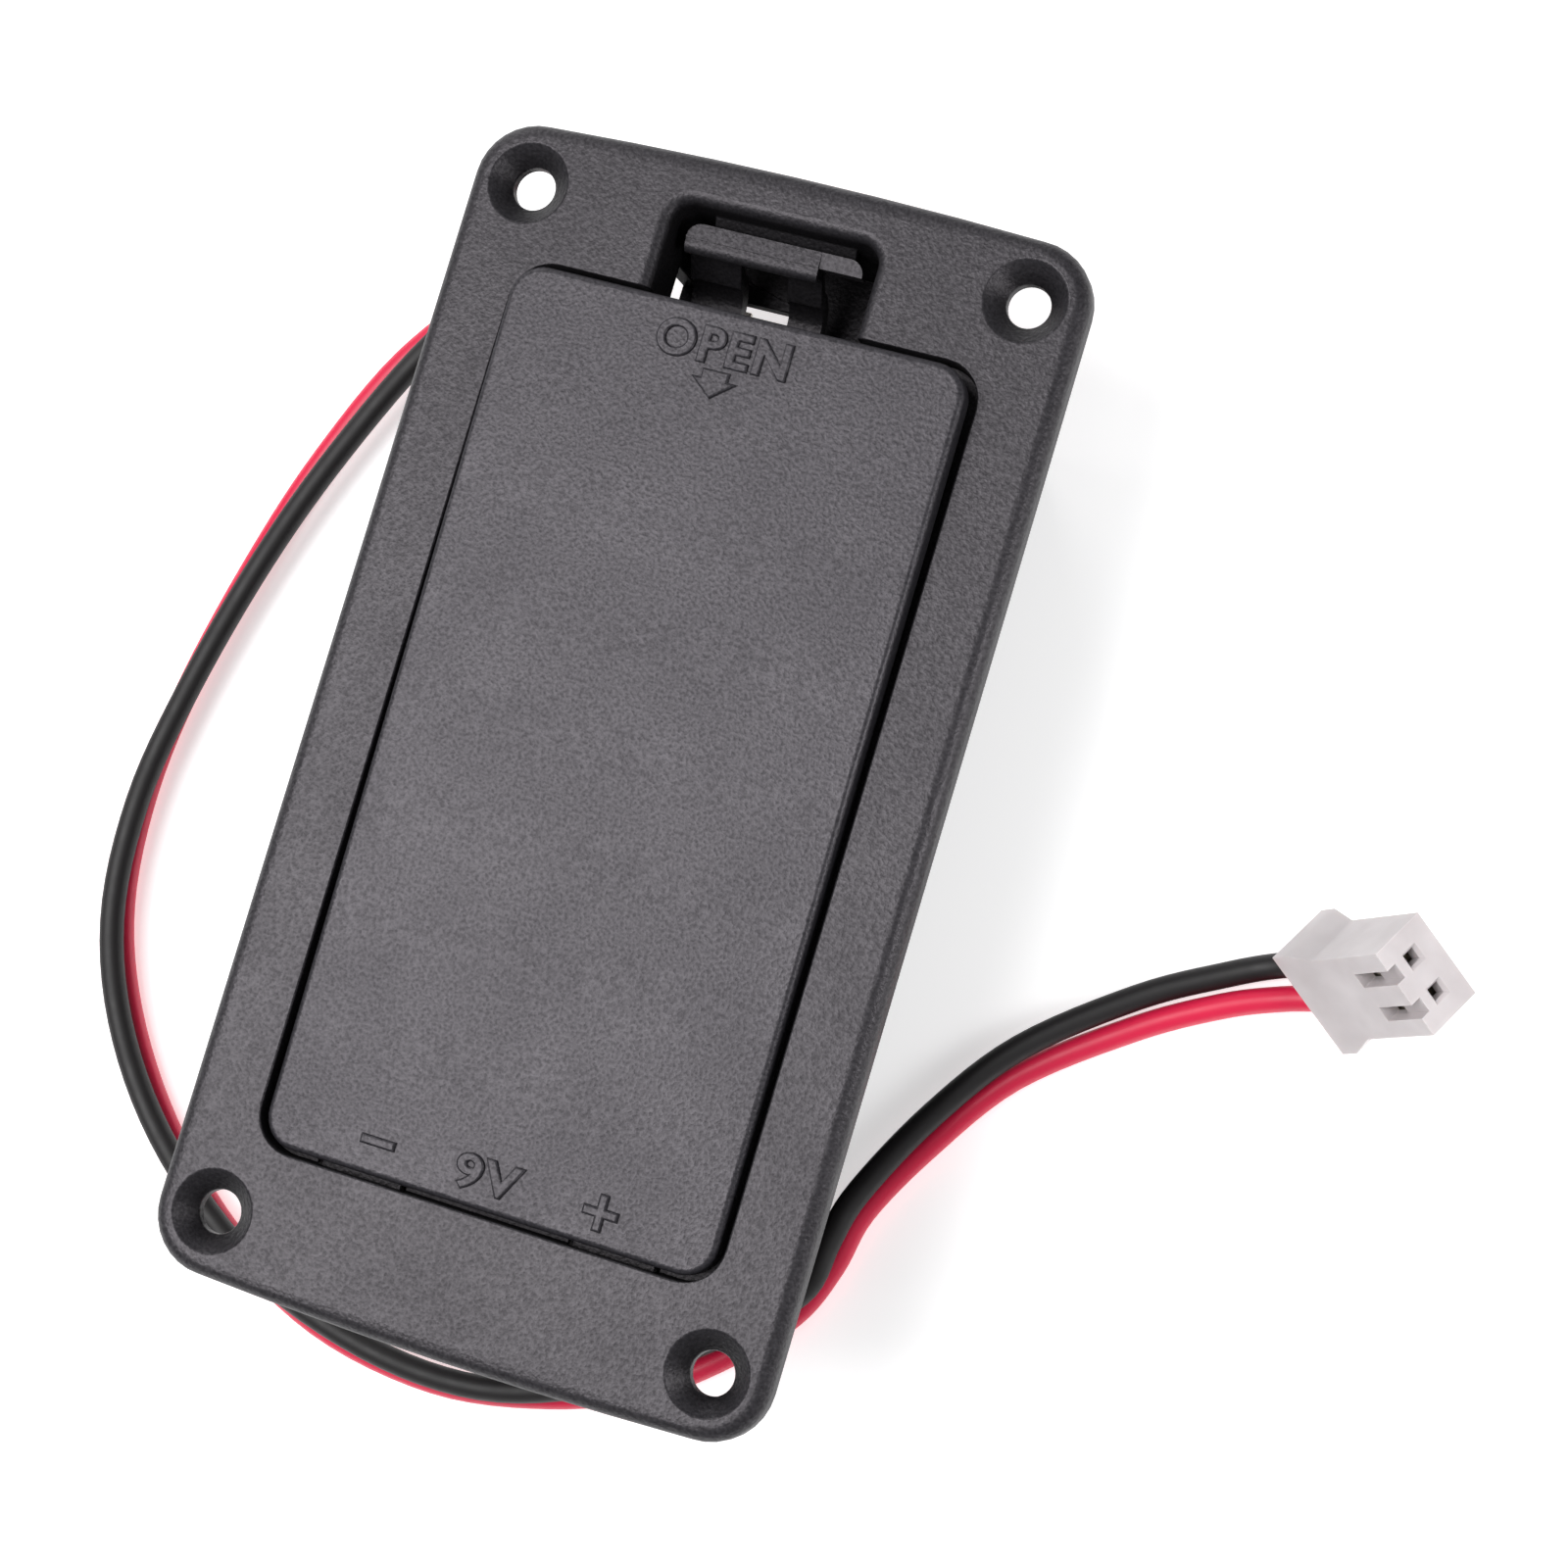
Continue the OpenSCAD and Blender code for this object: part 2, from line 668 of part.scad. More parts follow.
// A point between b and c, at t from 0 to 1, on a smooth curve through a, b, c and d.
function smooth(a, b, c, d, t) =
    0.5 * (2 * b + (c - a) * t + (2 * a - 5 * b + 4 * c - d) * t * t
           + (3 * b - a - 3 * c + d) * t * t * t);
function before(p, i) = i > 0 ? p[i - 1] : 2 * p[0] - p[1];
function after(p, i) = i + 2 < len(p) ? p[i + 2] : 2 * p[i + 1] - p[i];
function steps(p, i) = norm(p[i + 1] - p[i]) > LONG_STEP ? 2 : 1;
function smoothed(p) = [
    for (i = [0 : len(p) - 2], j = [0 : steps(p, i) - 1])
        smooth(before(p, i), p[i], p[i + 1], after(p, i), j / steps(p, i)),
    p[len(p) - 1]
];
function ahead(p, i) = unit(p[min(i + 1, len(p) - 1)] - p[max(i - 1, 0)]);
function ring(p, i, d) =
    let (t = ahead(p, i), side = unit(cross([0, 0, 1], t)), up = cross(t, side))
    [for (k = [0 : LEAD_SIDES - 1])
        p[i] + d / 2 * (cos(360 * k / LEAD_SIDES) * side + sin(360 * k / LEAD_SIDES) * up)];

module lead(route, d) {
    path = smoothed(route);
    n = len(path);
    rings = [for (i = [0 : n - 1]) each ring(path, i, d)];
    sides = [for (i = [0 : n - 2], k = [0 : LEAD_SIDES - 1])
        let (a = i * LEAD_SIDES, b = (k + 1) % LEAD_SIDES)
        [a + k, a + b, a + LEAD_SIDES + b, a + LEAD_SIDES + k]];
    first = [for (k = [LEAD_SIDES - 1 : -1 : 0]) k];
    last = [for (k = [0 : LEAD_SIDES - 1]) (n - 1) * LEAD_SIDES + k];
    polyhedron(rings, concat([first], sides, [last]), convexity = 6);
}

module wire_red() {
    color("#d72d4e") lead(RED_ROUTE, lead_d);
}

module wire_black() {
    color("#232020") lead(BLACK_ROUTE, lead_d);
}

case();
lid();
latch_tongue();
contact(1);  // contact_positive
contact(-1);  // contact_negative
solder(1);  // solder_positive
solder(-1);  // solder_negative
wire_red();
wire_black();
plug_housing();
crimp(1);  // crimp_terminal_red
crimp(-1);  // crimp_terminal_black
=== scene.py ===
# %% [markdown]
# # A flush-mount holder for a nine volt battery
#
# This notebook dresses a small moulded battery box: a black flange plate with four
# countersunk holes, a hinged lid with a thumb latch, and two leads to a white plug.
# The solids come from the imported model, in metres. The first cell loads them.

# %% Load the imported solids
import json
import math

import bmesh
import bpy
from mathutils import Matrix, Vector


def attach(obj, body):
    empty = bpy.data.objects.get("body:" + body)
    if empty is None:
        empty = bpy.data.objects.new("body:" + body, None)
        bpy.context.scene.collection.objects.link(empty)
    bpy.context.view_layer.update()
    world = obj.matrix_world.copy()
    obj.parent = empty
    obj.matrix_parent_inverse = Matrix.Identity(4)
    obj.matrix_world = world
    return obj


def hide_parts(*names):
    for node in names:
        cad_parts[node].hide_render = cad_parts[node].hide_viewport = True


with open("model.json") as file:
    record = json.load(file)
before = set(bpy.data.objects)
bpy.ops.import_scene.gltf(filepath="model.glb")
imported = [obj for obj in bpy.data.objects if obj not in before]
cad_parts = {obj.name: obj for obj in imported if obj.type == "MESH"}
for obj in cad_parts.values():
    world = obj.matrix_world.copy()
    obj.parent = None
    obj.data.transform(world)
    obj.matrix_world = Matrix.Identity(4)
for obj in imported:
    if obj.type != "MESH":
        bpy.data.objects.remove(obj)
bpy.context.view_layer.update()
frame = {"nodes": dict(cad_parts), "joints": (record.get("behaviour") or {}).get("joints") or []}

MM = 0.001
print("solids:", ", ".join(sorted(frame["nodes"])))

# %% [markdown]
# ## The camera
#
# The holder is seen from above and turned, as if a person had dropped it on a light table.
# The camera's place and its three axes were fitted to the corners and screw holes of the
# plate, whose real sizes are known. The lens is long, so the far end hardly shrinks.

# %% Camera
CAMERA_AT = Vector((57.53, -11.21, 205.14)) * MM
IMAGE_RIGHT = Vector((0.93275, 0.28539, -0.22010))
IMAGE_UP = Vector((-0.26133, 0.95615, 0.13221))
BEHIND = Vector((0.24818, -0.06581, 0.96646))

SENSOR_MM = 36
LENS_MM = 76.4
SHIFT = (-0.0029, 0.001)
NEAREST = 10 * MM

camera_data = bpy.data.cameras.new("camera")
camera_data.sensor_width = SENSOR_MM
camera_data.lens = LENS_MM
camera_data.shift_x, camera_data.shift_y = SHIFT
camera_data.clip_start = NEAREST
camera = bpy.data.objects.new("camera", camera_data)
turn = Matrix((IMAGE_RIGHT, IMAGE_UP, BEHIND)).transposed()
camera.matrix_world = Matrix.Translation(CAMERA_AT) @ turn.to_4x4()
bpy.context.scene.collection.objects.link(camera)
bpy.context.scene.camera = camera
print("camera height in mm:", round(CAMERA_AT.z / MM))

# %% [markdown]
# ## Tools for materials
#
# A finish is a small tree of nodes. One function turns a hex colour, as a designer reads
# it off a swatch, into the linear numbers that a renderer adds up. Another one adds a
# node, sets what it is given and links its inputs. Patterns are sized in millimetres, so
# a grain of 0.2 mm is 0.2 mm wide on the model too.

# %% Colours and nodes
def linear(swatch):
    """The linear RGBA of an sRGB hex colour."""
    parts = [int(swatch[i:i + 2], 16) / 255 for i in (1, 3, 5)]
    return [c / 12.92 if c <= 0.04045 else ((c + 0.055) / 1.055) ** 2.4
            for c in parts] + [1]


def add_node(tree, kind, settings=None, values=None, links=None):
    """A new node, with its properties (settings), socket values and incoming links."""
    node = tree.nodes.new("ShaderNode" + kind)
    for name, value in (settings or {}).items():
        setattr(node, name, value)
    for name, value in (values or {}).items():
        node.inputs[name].default_value = value
    for name, source in (links or {}).items():
        tree.links.new(source, node.inputs[name])
    return node


def new_material(name):
    """An empty material, its tree, and coordinates in metres on the object."""
    material = bpy.data.materials.new(name)
    material.use_nodes = True
    tree = material.node_tree
    tree.nodes.clear()
    place = add_node(tree, "TexCoord").outputs["Object"]
    return material, tree, place


def finish_material(tree, shader):
    """Connects the shader to the output."""
    add_node(tree, "OutputMaterial", links={"Surface": shader.outputs["BSDF"]})


def per_mm(width):
    """The scale of a pattern whose features are so many millimetres wide."""
    return 1 / (width * MM)


# %% [markdown]
# ## Moulded ABS with a fine grain
#
# The plate and the lid are black ABS from a mould that was etched, which gives the plastic
# a skin of low pebbles about 0.2 mm wide. Two noises make it: a fine one for the pebbles,
# and a slow one for the clouds in which the skin is a little duller or shinier. The plastic
# itself is nearly black. Its flat faces read as a soft dark grey only because the pebbles
# mirror the soft box, so the faces that are turned away from it stay dark. Below a height
# that each part states, painted shade fades the colour to a darker black and dulls the
# sheen. It darkens everything lower down, such as the pocket, the countersinks and the tub.

# %% Grained ABS
GRAIN_MM = 0.21
GRAIN_DEPTH_MM = 0.045
CLOUD_MM = 5
# how far the painted shade takes to fade in, and how much it dulls the sheen
PAINTED_SHADE_FADE_MM = 0.9
PAINTED_SHADE_MIRROR = 0.55


def noise_range(tree, noise, low, high):
    """A noise's middle range, spread between two values."""
    return add_node(tree, "MapRange", values={"From Min": 0.3, "From Max": 0.7,
                                              "To Min": low, "To Max": high},
                    links={"Value": noise.outputs["Fac"]}).outputs["Result"]


def multiply(tree, a, b):
    """The product of two sockets."""
    product = add_node(tree, "Math", {"operation": "MULTIPLY"})
    tree.links.new(a, product.inputs[0])
    tree.links.new(b, product.inputs[1])
    return product.outputs["Value"]


def grained_abs(name, dark, light, roughness, painted_shade_below_mm):
    """Black moulded plastic with an etched grain, and painted shade below one height."""
    material, tree, place = new_material(name)
    pebbles = add_node(tree, "TexNoise", values={"Scale": per_mm(GRAIN_MM), "Detail": 1.5,
                                                 "Roughness": 0.5}, links={"Vector": place})
    clouds = add_node(tree, "TexNoise", values={"Scale": per_mm(CLOUD_MM), "Detail": 2},
                      links={"Vector": place})
    height = add_node(tree, "SeparateXYZ", links={"Vector": place})
    # painted shade mask: 1 above the given height, falling to 0 below it, where the colour turns
    # darker black
    skin = add_node(tree, "MapRange", values={"From Min": (painted_shade_below_mm - PAINTED_SHADE_FADE_MM) * MM,
                                              "From Max": painted_shade_below_mm * MM},
                    links={"Value": height.outputs["Z"]}).outputs["Result"]
    tint = add_node(tree, "ValToRGB", links={"Fac": skin})
    tint.color_ramp.elements[0].color = linear(dark)
    tint.color_ramp.elements[1].color = linear(light)
    colour = add_node(tree, "VectorMath", {"operation": "SCALE"},
                      links={0: tint.outputs["Color"],
                             "Scale": noise_range(tree, pebbles, 0.75, 1.25)})
    # painted shade: the sheen is dulled below the given height
    sheen_under_painted_shade = add_node(tree, "MapRange", values={"To Min": PAINTED_SHADE_MIRROR, "To Max": 1},
                      links={"Value": skin}).outputs["Result"]
    mirror = multiply(tree, noise_range(tree, pebbles, 0.36, 0.64), sheen_under_painted_shade)
    bump = add_node(tree, "Bump", values={"Strength": 0.8, "Distance": GRAIN_DEPTH_MM * MM},
                    links={"Height": pebbles.outputs["Fac"]})
    shader = add_node(tree, "BsdfPrincipled",
                      values={"IOR": 1.54, "Specular Tint": linear("#fff8ff")},
                      links={"Base Color": colour.outputs["Vector"],
                             "Roughness": noise_range(tree, clouds, roughness - 0.02,
                                                      roughness + 0.02),
                             "Specular IOR Level": mirror,
                             "Normal": bump.outputs["Normal"]})
    finish_material(tree, shader)
    return material


# the darker black is painted shade, used on the faces below each part's height
PAINTED_SHADE_BLACK = "#151416"
case_abs = grained_abs("etched_black_abs", PAINTED_SHADE_BLACK, "#232225", 0.46, 21.4)
lid_abs = grained_abs("etched_black_abs_lid", PAINTED_SHADE_BLACK, "#262529", 0.45, 20.9)
tongue_abs = grained_abs("etched_black_abs_tongue", PAINTED_SHADE_BLACK, "#232225", 0.5, 18.6)
print("grain features per metre:", round(per_mm(GRAIN_MM)))

# %% [markdown]
# ## The other finishes
#
# The leads are extruded PVC, satin and faintly wavy. The plug is unfilled nylon: milky,
# because light goes into it and comes out again a fraction of a millimetre away. The
# contacts are nickel-plated spring strip with fine lines along it from the rolling.
# Solder is a bright, slightly rippled blob.

# %% PVC, nylon and metals
def extruded_pvc(name, swatch, roughness):
    """Soft insulation with a faint waviness from the extruder."""
    material, tree, place = new_material(name)
    waves = add_node(tree, "TexNoise", values={"Scale": per_mm(1.2), "Detail": 4},
                     links={"Vector": place})
    gloss = add_node(tree, "MapRange", values={"To Min": roughness - 0.08,
                                               "To Max": roughness + 0.1},
                     links={"Value": waves.outputs["Fac"]})
    bump = add_node(tree, "Bump", values={"Strength": 0.25, "Distance": 0.03 * MM},
                    links={"Height": waves.outputs["Fac"]})
    shader = add_node(tree, "BsdfPrincipled",
                      values={"Base Color": linear(swatch), "IOR": 1.53},
                      links={"Roughness": gloss.outputs["Result"],
                             "Normal": bump.outputs["Normal"]})
    finish_material(tree, shader)
    return material


def milky_nylon():
    """Unfilled nylon, moulded with a satin skin."""
    material, tree, place = new_material("milky_nylon")
    haze = add_node(tree, "TexNoise", values={"Scale": per_mm(3), "Detail": 3},
                    links={"Vector": place})
    tint = add_node(tree, "ValToRGB", links={"Fac": haze.outputs["Fac"]})
    tint.color_ramp.elements[0].position = 0.3
    tint.color_ramp.elements[0].color = linear("#bcb5b6")
    tint.color_ramp.elements[1].position = 0.75
    tint.color_ramp.elements[1].color = linear("#ccc6c7")
    bump = add_node(tree, "Bump", values={"Strength": 0.2, "Distance": 0.02 * MM},
                    links={"Height": haze.outputs["Fac"]})
    shader = add_node(tree, "BsdfPrincipled",
                      values={"Roughness": 0.38, "IOR": 1.53, "Subsurface Weight": 0.35,
                              "Subsurface Radius": (1.0, 0.85, 0.8),
                              "Subsurface Scale": 0.6 * MM},
                      links={"Base Color": tint.outputs["Color"],
                             "Normal": bump.outputs["Normal"]})
    finish_material(tree, shader)
    return material


def rolled_metal(name, swatch, roughness, line_mm):
    """Plated strip whose fine lines run along the strip."""
    material, tree, place = new_material(name)
    stretch = add_node(tree, "Mapping", values={"Scale": (1, 0.04, 0.04)},
                       links={"Vector": place})
    lines = add_node(tree, "TexNoise", values={"Scale": per_mm(line_mm), "Detail": 3},
                     links={"Vector": stretch.outputs["Vector"]})
    gloss = add_node(tree, "MapRange", values={"To Min": roughness - 0.06,
                                               "To Max": roughness + 0.14},
                     links={"Value": lines.outputs["Fac"]})
    bump = add_node(tree, "Bump", values={"Strength": 0.15, "Distance": 0.01 * MM},
                    links={"Height": lines.outputs["Fac"]})
    shader = add_node(tree, "BsdfPrincipled",
                      values={"Base Color": linear(swatch), "Metallic": 1},
                      links={"Roughness": gloss.outputs["Result"],
                             "Normal": bump.outputs["Normal"]})
    finish_material(tree, shader)
    return material


red_pvc = extruded_pvc("red_pvc", "#e3204a", 0.4)
black_pvc = extruded_pvc("black_pvc", "#161314", 0.56)
nylon = milky_nylon()
nickel = rolled_metal("nickel_plated_strip", "#cfcac0", 0.26, 0.12)
tin = rolled_metal("tinned_brass", "#cdc8bb", 0.32, 0.15)
solder_metal = rolled_metal("bright_solder", "#c4c6c9", 0.22, 0.5)

# %% [markdown]
# ## Softening the moulded edges
#
# The solids are exact, but their edges are perfectly sharp and their rounds are made of
# flat strips. No real moulding looks like that: every edge of a steel mould is broken by a
# tenth of a millimetre, and that thin round is what catches the light. A copy of each
# solid is merged, its flat faces are joined, and a narrow bevel goes round its edges.

# %% Dressed copies of the solids
MERGE_MM = 0.002
FLAT_DEGREES = 0.5
EDGE_DEGREES = 32
BAR_LEFT_MM = -5.7
BAR_FAR_MM = 32.1
BAR_CORNER_R = 0.85


def dressed(name, node, body, material, edge_mm, rounds=()):
    """A merged copy of a solid with softened edges, in place of the solid.

    Each of the rounds is a test that picks sharp edges, and a radius in millimetres.
    """
    mesh = frame["nodes"][node].data.copy()
    mesh.name = name
    bm = bmesh.new()
    bm.from_mesh(mesh)
    bmesh.ops.remove_doubles(bm, verts=bm.verts, dist=MERGE_MM * MM)
    bmesh.ops.dissolve_limit(bm, angle_limit=math.radians(FLAT_DEGREES),
                             verts=bm.verts, edges=bm.edges)
    for picked, radius_mm in rounds:
        edges = [e for e in bm.edges if len(e.link_faces) == 2
                 and e.calc_face_angle() > math.radians(EDGE_DEGREES) and picked(e)]
        print(name, "rounds", len(edges), "edges by", radius_mm, "mm")
        bmesh.ops.bevel(bm, geom=edges, offset=radius_mm * MM, segments=4, profile=0.5,
                        affect="EDGES", material=-1)
    for face in bm.faces:
        face.smooth = True
    for edge in bm.edges:
        edge.smooth = (len(edge.link_faces) == 2
                       and edge.calc_face_angle() < math.radians(EDGE_DEGREES))
    bm.to_mesh(mesh)
    bm.free()
    mesh.materials.clear()
    mesh.materials.append(material)
    piece = bpy.data.objects.new(name, mesh)
    bpy.context.scene.collection.objects.link(piece)
    if edge_mm:
        bevel = piece.modifiers.new("softened_edges", "BEVEL")
        bevel.width = edge_mm * MM
        bevel.segments = 2
        bevel.limit_method = "ANGLE"
        bevel.angle_limit = math.radians(EDGE_DEGREES)
        bevel.harden_normals = True
    weighted = piece.modifiers.new("flat_faces_stay_flat", "WEIGHTED_NORMAL")
    weighted.keep_sharp = True
    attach(piece, body)
    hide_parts(node)
    print(name, "has", len(mesh.polygons), "faces before its edges are softened")
    return piece


def bar_far_corner(edge):
    """Whether an edge is the latch bar's upright far corner, on the left."""
    a, b = (v.co / MM for v in edge.verts)
    upright = abs(a.z - b.z) > 0.5
    return upright and max(a.x, b.x) < BAR_LEFT_MM and min(a.y, b.y) > BAR_FAR_MM


dressed("moulded_case", "case", "case", case_abs, 0.12)
dressed("moulded_lid", "lid", "lid", lid_abs, 0.12)
dressed("sprung_tongue", "latch_tongue", "latch", tongue_abs, 0.15,
        [(bar_far_corner, BAR_CORNER_R)])
for sign in ("positive", "negative"):
    dressed(f"leaf_{sign}", f"contact_{sign}", "case", nickel, 0.05)
    dressed(f"solder_blob_{sign}", f"solder_{sign}", "case", solder_metal, 0)

# %% [markdown]
# ## The plug
#
# The nylon housing is moulded with slightly softer edges than the case, and light soaks
# into it. Its two terminals only show as metal in the windows and behind the square
# mouths, so their solids stay and get a tinned finish.

# %% Plug and terminals
def refinish(node, material):
    """Gives a solid that stays its finish."""
    piece = frame["nodes"][node]
    piece.data.materials.clear()
    piece.data.materials.append(material)
    return piece


plug = dressed("nylon_plug", "plug_housing", "case", nylon, 0.14)
red_terminal = refinish("crimp_terminal_red", tin)
black_terminal = refinish("crimp_terminal_black", tin)

# %% [markdown]
# ## The leads
#
# Each lead is a thin limp cable that lies where it fell. It starts at its solder tab under
# the plate's latch end, loops along the plate's left side, passes under the lower end and
# comes out on the right, where it rises into the plug. The red lead lies on the floor, and
# the black one rides over it twice. A curve of round section follows the same listed
# points as the solid, joined by the same smooth rule, so it lies where the solid lies.

# %% Routes and lead curves
LEAD_D = 1.6
LEAD_STEPS = 6
BLACK_ROUTE = [
    [-6.35, 31.4, 5.35], [-6.45, 34, 5.35], [-7.9, 36.5, 5.3], [-10.4, 37.8, 5],
    [-13.4, 37.1, 4.5], [-17, 34.6, 3.7], [-21.4, 30.2, 2.9], [-26.1, 24.5, 2.55],
    [-30.2, 16, 2.5], [-33.2, 7.6, 2.5], [-35.5, -1.8, 2.55], [-36.6, -10, 2.6],
    [-35.8, -18, 2.6], [-32.5, -25.1, 2.6], [-27, -31.3, 2.6], [-19.3, -36.4, 2.6],
    [-10.4, -39, 2.6], [-2.4, -39.1, 2.6], [4.4, -36.7, 2.4], [9.2, -33.1, 2.3],
    [13.2, -29.8, 2.35], [15.7, -27, 2.5], [16.3, -23.7, 2.6], [17.2, -20.4, 2.5],
    [20.2, -14.6, 2.35], [24.2, -9.1, 2.05], [30.2, -4.1, 1.3], [35, -1.25, 0.95],
    [38.1, 0.2, 1.4], [40.5, 0.75, 3.05], [41.9, 1.1, 4.95]
]
RED_ROUTE = [
    [6.35, 31.4, 5.35], [6.25, 34, 5.35], [5.1, 36.6, 5.3], [2.6, 38.1, 5.1],
    [-0.6, 38.5, 4.7], [-4.8, 38.4, 3.8], [-10.4, 37.1, 2.4], [-17.6, 33.7, 1.1],
    [-23.9, 28.7, 0.85], [-28.5, 23, 0.85], [-31.9, 15.4, 0.85], [-34.2, 8, 0.85],
    [-36.2, -1, 0.85], [-37, -9, 0.85], [-36.2, -16.8, 0.85], [-33.4, -23.4, 0.85],
    [-28.6, -29.7, 0.85], [-22.2, -35.1, 0.85], [-14.6, -38.8, 0.85], [-6, -39.9, 0.85],
    [1.6, -38.5, 0.85], [7.4, -36, 0.85], [11.8, -32.6, 0.85], [15.1, -28.9, 0.85],
    [16.6, -25.4, 0.85], [17.5, -21.6, 0.85], [20.2, -16.6, 0.85], [24.2, -11, 0.85],
    [30.5, -6, 0.85], [35.3, -3.15, 0.85], [38.6, -1.75, 0.85], [40.8, -1.1, 1.05],
    [42.3, -0.7, 2.05], [43.65, -0.3, 3.95]
]


def smoothed(route, steps):
    """Points on a smooth curve through the route, in metres."""
    knots = [Vector(p) * MM for p in route]
    knots = [2 * knots[0] - knots[1]] + knots + [2 * knots[-1] - knots[-2]]
    points = []
    for a, b, c, d in zip(knots, knots[1:], knots[2:], knots[3:]):
        for step in range(steps):
            t = step / steps
            points.append(0.5 * (2 * b + (c - a) * t + (2 * a - 5 * b + 4 * c - d) * t ** 2
                                 + (3 * b - a - 3 * c + d) * t ** 3))
    return points + [knots[-2]]


def lead(name, node, route, material):
    """One insulated lead as a curve along its route, in place of its solid."""
    points = smoothed(route, LEAD_STEPS)
    data = bpy.data.curves.new(name, "CURVE")
    data.dimensions = "3D"
    data.bevel_depth = LEAD_D / 2 * MM
    data.bevel_resolution = 5
    data.use_fill_caps = True
    data.materials.append(material)
    spline = data.splines.new("POLY")
    spline.points.add(len(points) - 1)
    for target, point in zip(spline.points, points):
        target.co = (*point, 1)
    spline.use_smooth = True
    piece = bpy.data.objects.new(name, data)
    bpy.context.scene.collection.objects.link(piece)
    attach(piece, "case")
    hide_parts(node)


lead("lead_black", "wire_black", BLACK_ROUTE, black_pvc)
lead("lead_red", "wire_red", RED_ROUTE, red_pvc)

# %% [markdown]
# ## Raised marks on the lid
#
# The mould has shallow cuts that leave marks standing about 0.2 mm proud of the lid: a
# word and an arrow at the latch end, and a marking for the battery at the hinged end.
# They have flat tops and sloping rims, which lie in the dark or catch the light. The
# lettering is flat text given a thickness, and the arrow and the signs start from a few
# points in a plane. All of them stand on the lid as it is drawn, raised on its hinge.

# %% Marks
LID_RAISE = 1.8
HINGE = Vector(next(j for j in frame["joints"] if j["name"] == "lid_hinge")["pos_m"])
ON_LID = (Matrix.Translation(HINGE) @ Matrix.Rotation(math.radians(LID_RAISE), 4, "X")
          @ Matrix.Translation(-HINGE))
MARK_H = 0.09
MARK_RIM = 0.13
MARK_BOLD = 0.02
MARK_MERGE_MM = 0.001
LETTER_SPACING = 1.12
CAP_SHARE = 0.73
SIGN_Y = -25.05
SIGN_ARM = 1.1
SIGN_HALF_STROKE = 0.29


def on_lid(name, mesh, x, y):
    """Sets a flat mark on the lid's face and makes it a piece that rides there."""
    mesh.transform(ON_LID @ Matrix.Translation((x * MM, y * MM, HINGE.z)))
    mesh.name = name
    mesh.materials.clear()
    mesh.materials.append(lid_abs)
    piece = bpy.data.objects.new(name, mesh)
    bpy.context.scene.collection.objects.link(piece)
    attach(piece, "lid")


def raised_word(name, word, cap_mm, width_mm, x, y):
    """Raised capitals or figures of one height and width, their middle at x and y."""
    text = bpy.data.curves.new(name, "FONT")
    text.body = word
    text.size = cap_mm / CAP_SHARE * MM
    text.align_x = "CENTER"
    text.align_y = "CENTER"
    text.extrude = MARK_H * MM
    text.bevel_depth = MARK_RIM * MM
    text.bevel_resolution = 1
    text.offset = MARK_BOLD * MM
    text.space_character = LETTER_SPACING
    holder = bpy.data.objects.new(name, text)
    bpy.context.scene.collection.objects.link(holder)
    bpy.context.view_layer.update()
    mesh = bpy.data.meshes.new_from_object(
        holder.evaluated_get(bpy.context.evaluated_depsgraph_get()))
    bpy.data.objects.remove(holder)
    across = [v.co.x for v in mesh.vertices]
    up = [v.co.y for v in mesh.vertices]
    centre = Vector(((max(across) + min(across)) / 2, (max(up) + min(up)) / 2, 0))
    stretch = Matrix.Diagonal((width_mm * MM / (max(across) - min(across)),
                               cap_mm * MM / (max(up) - min(up)), 1, 1))
    mesh.transform(stretch @ Matrix.Translation(-centre))
    bm = bmesh.new()
    bm.from_mesh(mesh)
    bmesh.ops.remove_doubles(bm, verts=bm.verts, dist=MARK_MERGE_MM * MM)
    bmesh.ops.recalc_face_normals(bm, faces=bm.faces)
    bm.to_mesh(mesh)
    bm.free()
    print(name, "has", len(mesh.polygons), "faces")
    on_lid(name, mesh, x, y)


def raised_shape(name, outline, x, y):
    """A flat-topped mark from an outline in millimetres, with a broken rim."""
    bm = bmesh.new()
    face = bm.faces.new([bm.verts.new((u * MM, v * MM, -MARK_H * MM))
                         for u, v in outline])
    raised = bmesh.ops.extrude_face_region(bm, geom=[face])["geom"]
    top = [v for v in raised if isinstance(v, bmesh.types.BMVert)]
    bmesh.ops.translate(bm, verts=top, vec=(0, 0, (2 * MARK_H + MARK_RIM) * MM))
    rim = [e for e in bm.edges if all(v in top for v in e.verts)]
    bmesh.ops.bevel(bm, geom=rim, offset=MARK_RIM * MM, segments=2, profile=0.5,
                    affect="EDGES", material=-1)
    bmesh.ops.recalc_face_normals(bm, faces=bm.faces)
    mesh = bpy.data.meshes.new(name)
    bm.to_mesh(mesh)
    bm.free()
    on_lid(name, mesh, x, y)


def plus_outline(arm, half):
    """The twelve corners of a plus sign, from its arm's length and half its stroke."""
    corners = [(half, arm), (half, half), (arm, half)]
    quarters = [(1, 1, False), (1, -1, True), (-1, -1, False), (-1, 1, True)]
    return [(sx * u, sy * v) for sx, sy, back in quarters
            for u, v in (reversed(corners) if back else corners)]


def minus_outline(arm, half):
    """The four corners of a minus sign of the same size."""
    return [(-arm, -half), (arm, -half), (arm, half), (-arm, half)]


raised_word("open_mark", "OPEN", 2.3, 8.3, -0.42, 24.62)
raised_shape("arrow_mark", [(-0.85, 0.55), (0.85, 0.55), (0.85, 0), (1.45, 0), (0, -1.15),
                            (-1.45, 0), (-0.85, 0)], -0.4, 22.7)
raised_word("voltage_mark", "9V", 2.2, 4.2, 0, SIGN_Y)
raised_shape("plus_mark", plus_outline(SIGN_ARM, SIGN_HALF_STROKE), 7, SIGN_Y)
raised_shape("minus_mark", minus_outline(SIGN_ARM, SIGN_HALF_STROKE), -7, SIGN_Y)

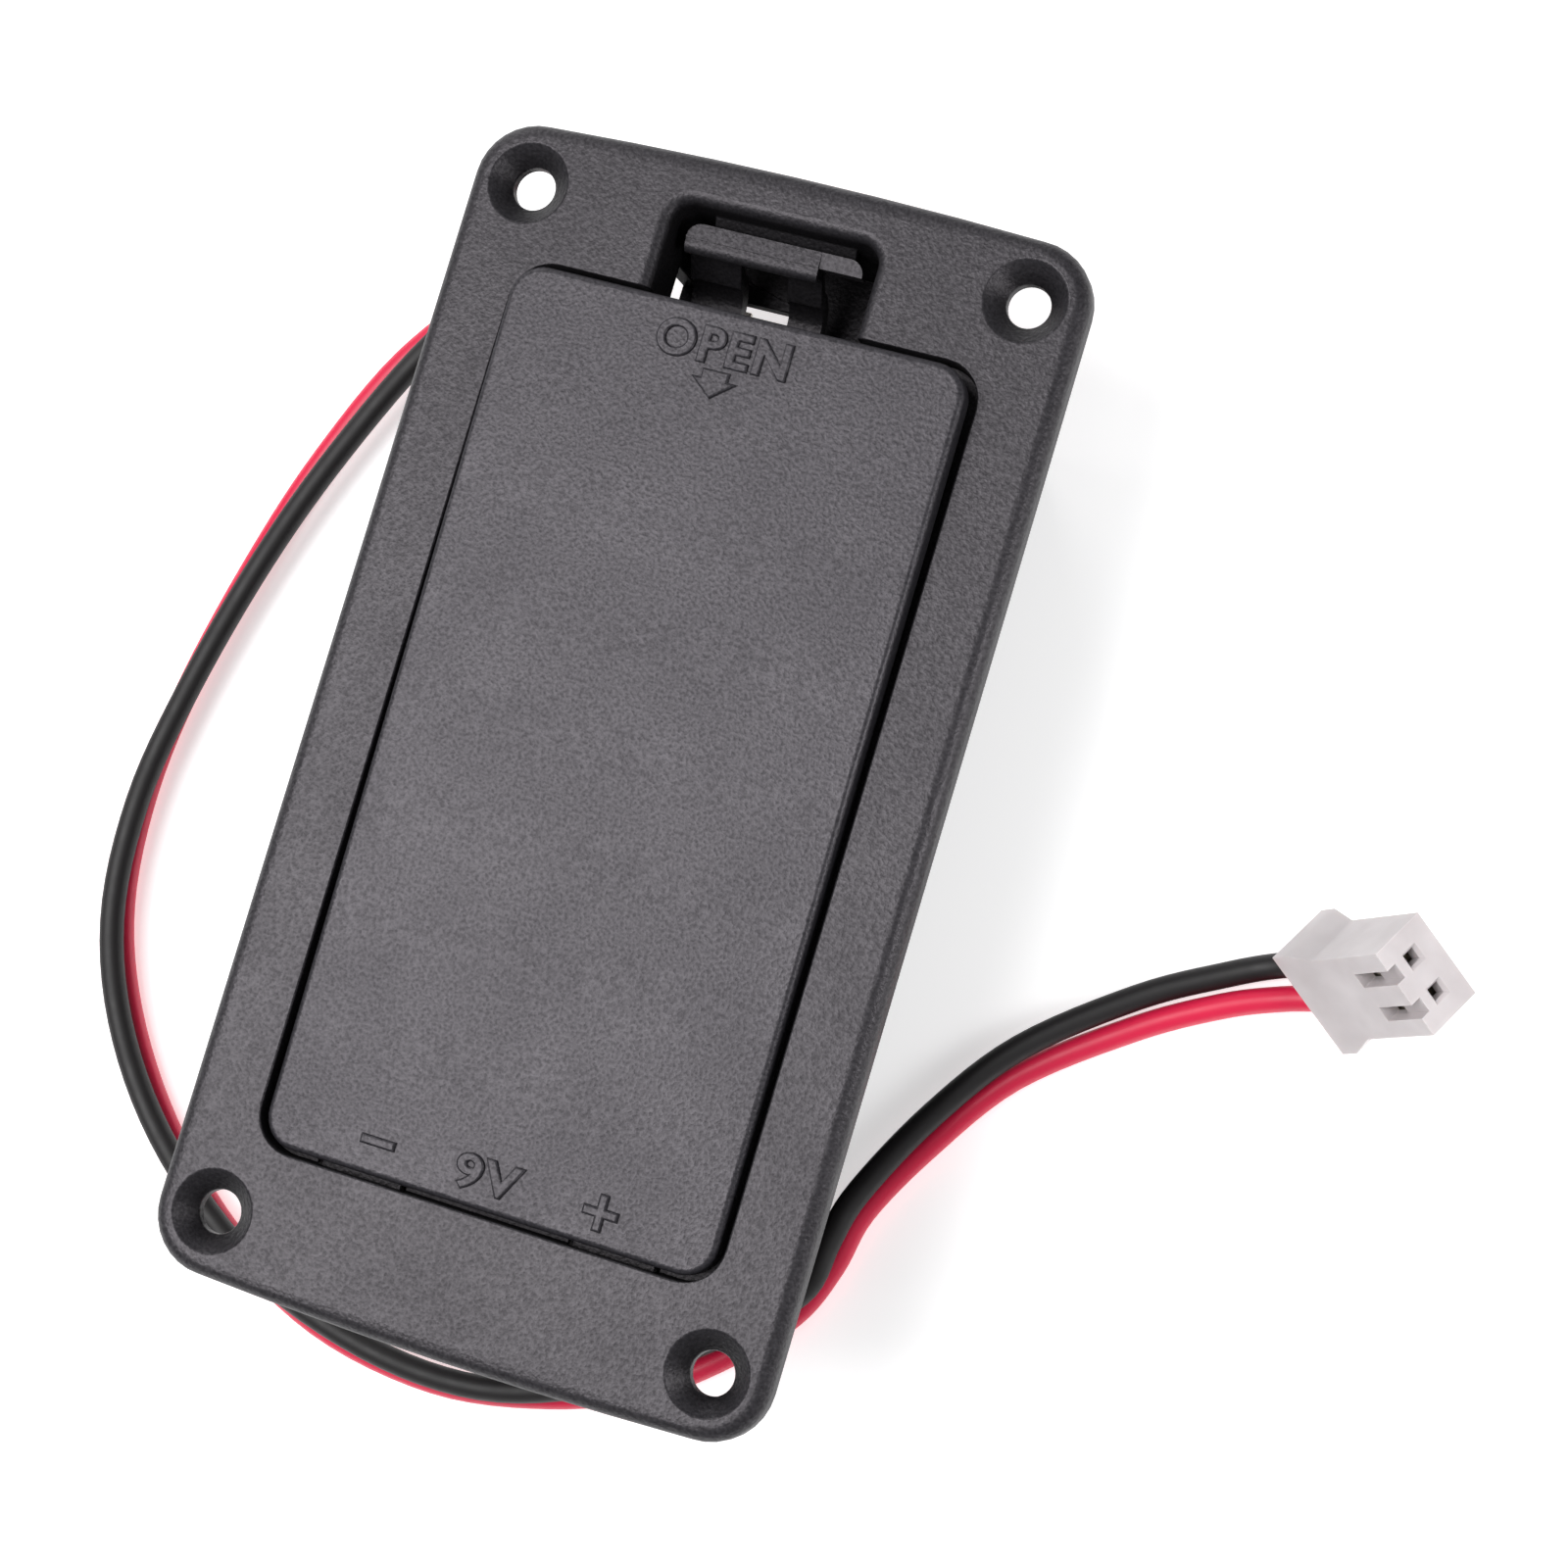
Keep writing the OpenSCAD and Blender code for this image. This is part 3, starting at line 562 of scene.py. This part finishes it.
# %% [markdown]
# ## The studio
#
# A white table lies under one large soft box, which hangs where the flat faces mirror it
# into the camera, a little to the lower left. A weak box from the upper left lights the
# rims of the raised marks, and a small card close to the plug brightens its nose. The
# table glows like a light table, so the shadows on it stay pale. The camera sees the room
# as white, but the room lights the holder only weakly.

# %% Floor, room and lights
def glowing_paint(name, swatch, roughness, glow):
    """A smooth even paint that glows a little."""
    material, tree, _ = new_material(name)
    shader = add_node(tree, "BsdfPrincipled",
                      values={"Base Color": linear(swatch), "Roughness": roughness,
                              "Emission Color": linear(swatch), "Emission Strength": glow})
    finish_material(tree, shader)
    return material


def soft_box(name, at_mm, size_mm, watts):
    """A square area light that looks at the middle of the tub's underside."""
    data = bpy.data.lights.new(name, "AREA")
    data.size = size_mm * MM
    data.energy = watts
    lamp = bpy.data.objects.new(name, data)
    lamp.location = Vector(at_mm) * MM
    lamp.rotation_euler = (-lamp.location).to_track_quat("-Z", "Y").to_euler()
    bpy.context.scene.collection.objects.link(lamp)


TABLE_MM = 12000
ROOM_LIGHT = 0.28
ROOM_SEEN = 0.9

bm = bmesh.new()
bmesh.ops.create_grid(bm, x_segments=1, y_segments=1, size=TABLE_MM / 2 * MM)
table_mesh = bpy.data.meshes.new("table")
bm.to_mesh(table_mesh)
bm.free()
table_mesh.materials.append(glowing_paint("white_table", "#f4f4f4", 0.7, 0.6))
table = bpy.data.objects.new("table", table_mesh)
bpy.context.scene.collection.objects.link(table)

world = bpy.data.worlds.new("room")
world.use_nodes = True
tree = world.node_tree
seen = add_node(tree, "LightPath").outputs["Is Camera Ray"]
strength = add_node(tree, "MapRange", values={"To Min": ROOM_LIGHT, "To Max": ROOM_SEEN},
                    links={"Value": seen})
background = tree.nodes["Background"]
background.inputs["Color"].default_value = linear("#f7f7fa")
tree.links.new(strength.outputs["Result"], background.inputs["Strength"])
bpy.context.scene.world = world

soft_box("soft_box", (-150, -40, 420), 280, 1.75)
soft_box("rim_box", (-260, 330, 200), 200, 0.35)
soft_box("plug_card", (95, 10, 55), 30, 0.03)
bpy.context.scene.view_settings.view_transform = "Standard"
print("table, room and three lights are set")
